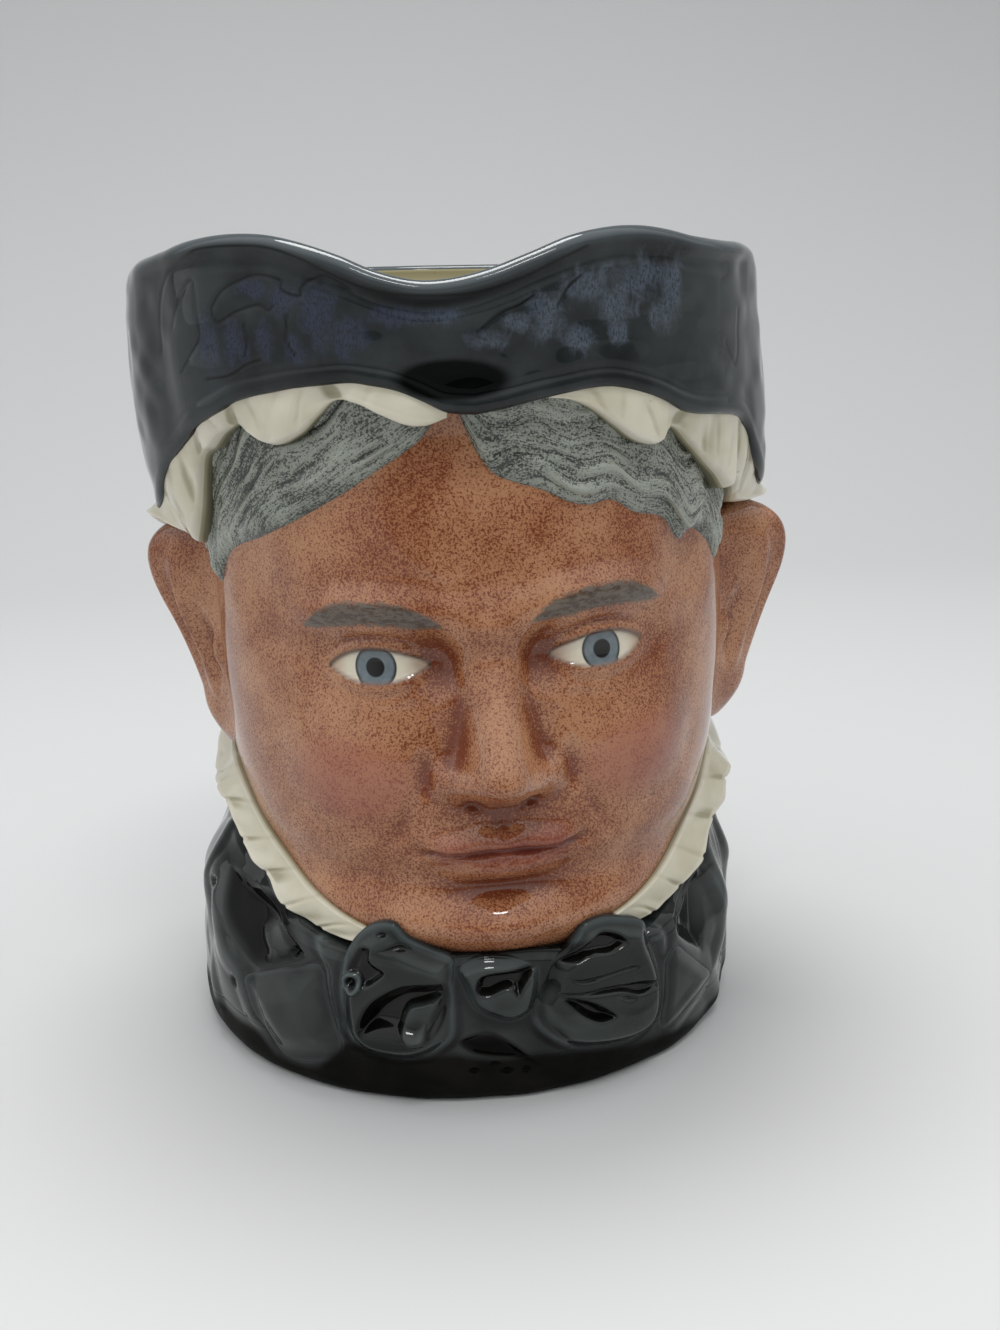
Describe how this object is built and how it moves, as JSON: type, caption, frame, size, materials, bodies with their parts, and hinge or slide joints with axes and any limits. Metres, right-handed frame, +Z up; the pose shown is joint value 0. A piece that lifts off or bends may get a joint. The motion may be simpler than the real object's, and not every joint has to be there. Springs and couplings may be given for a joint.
{
  "type": "character jug",
  "caption": "Glazed pottery jug in the form of a head in a dark bonnet, with a white cap frill, a tied dark cape and a loop handle at the back.",
  "frame": {"origin": "centre of the flat face that the jug stands on", "axes": "+Z up; the face looks along -Y and the handle stands out along +Y; +X is on the right of someone who faces the jug"},
  "size_m": [0.1351, 0.1615, 0.159],
  "materials": {
    "flesh_glaze": "gloss glaze over stippled red-brown on tan",
    "hat_glaze": "gloss black-blue glaze with brushed blue patches",
    "cape_glaze": "gloss black glaze, slate where it is thin",
    "cream_glaze": "gloss cream glaze",
    "hair_glaze": "gloss grey glaze with dark strands"
  },
  "bodies": {
    "root": {"foot_base": "cape_glaze", "body_shell": "flesh_glaze", "hat": "hat_glaze", "cape": "cape_glaze", "handle": "hat_glaze", "hair_left": "hair_glaze", "hair_right": "hair_glaze", "ear_left": "flesh_glaze", "ear_right": "flesh_glaze", "frill_upper_left": "cream_glaze", "frill_upper_right": "cream_glaze", "frill_jaw_left": "cream_glaze", "frill_jaw_right": "cream_glaze", "bow_loop_left": "cape_glaze", "bow_loop_right": "cape_glaze", "bow_knot": "cape_glaze", "ribbon_left": "cape_glaze", "ribbon_right": "cape_glaze"}
  },
  "joints": []
}
